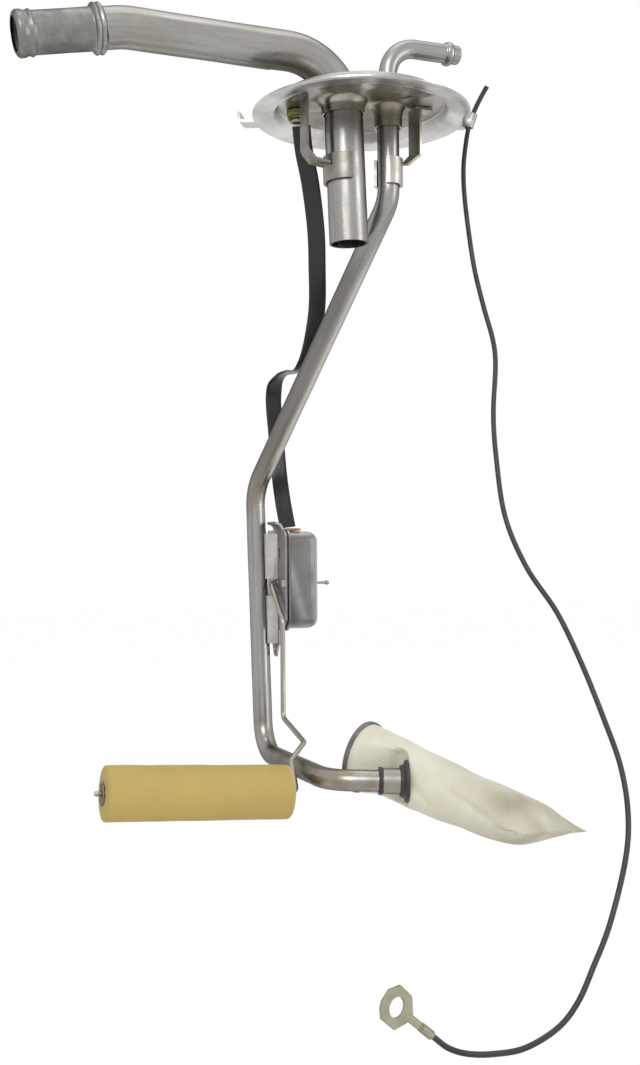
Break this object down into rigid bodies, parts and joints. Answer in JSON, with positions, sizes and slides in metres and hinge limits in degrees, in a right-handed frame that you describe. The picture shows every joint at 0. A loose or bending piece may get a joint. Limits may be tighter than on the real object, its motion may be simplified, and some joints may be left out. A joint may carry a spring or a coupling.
{
  "type": "fuel level sender",
  "caption": "Tank flange carrying a bent vent tube, a pickup tube with a filter sock, and a sender can with a hinged float arm, flat lead and ground wire.",
  "frame": {"origin": "centre of the flange's underside, in the plane of the ring that sits on the tank", "axes": "+Z out of the tank along the flange's axis, +X along the fuel outlet and the float arm's pivot, +Y towards the sender can"},
  "size_m": [0.2346, 0.2371, 0.3987],
  "materials": {
    "zinc_steel": "satin",
    "tube_steel": "satin",
    "strap_steel": "satin",
    "bracket_steel": "satin",
    "wire_steel": "satin",
    "brass": "satin",
    "olive_plastic": "matte",
    "phenolic_board": "matte",
    "red_rubber": "matte",
    "black_pvc": "satin",
    "tan_foam": "matte",
    "cream_nylon": "matte",
    "grey_plastic": "matte",
    "dark_rubber": "matte"
  },
  "bodies": {
    "unit": {"flange_plate": "zinc_steel", "vent_tube": "tube_steel", "fuel_pickup_tube": "tube_steel", "vent_tube_strap": "strap_steel", "fuel_tube_strap": "strap_steel", "red_slip": "red_rubber", "lower_insulator": "olive_plastic", "upper_insulator": "olive_plastic", "lead_eyelet": "brass", "terminal_stud": "zinc_steel", "terminal_nut": "zinc_steel", "flat_lead": "black_pvc", "lead_board": "phenolic_board", "sender_bracket": "bracket_steel", "sender_can": "bracket_steel", "resistor_card": "phenolic_board", "resistance_winding": "brass", "tube_ring": "dark_rubber", "filter_fitting": "bracket_steel", "filter_grommet": "dark_rubber", "filter_sock": "cream_nylon", "sock_ring": "grey_plastic", "ground_wire": "black_pvc", "ground_crimp": "zinc_steel", "ring_terminal": "zinc_steel"},
    "arm": {"pivot_shaft": "zinc_steel", "wiper_hub": "olive_plastic", "wiper": "brass", "float_rod": "wire_steel", "float_retainer": "wire_steel"},
    "float_body": {"float": "tan_foam"}
  },
  "joints": [
    {"name": "float_arm", "type": "hinge", "parent": "unit", "child": "arm", "pos_m": [-0.008, 0.105, -0.2013], "axis": [-1, 0, 0], "range_deg": [0, 80]},
    {"name": "float_spin", "type": "hinge", "parent": "arm", "child": "float_body", "pos_m": [-0.0222, 0.0375, -0.2932], "axis": [-0.9984, 0, 0.0558], "continuous": true}
  ]
}
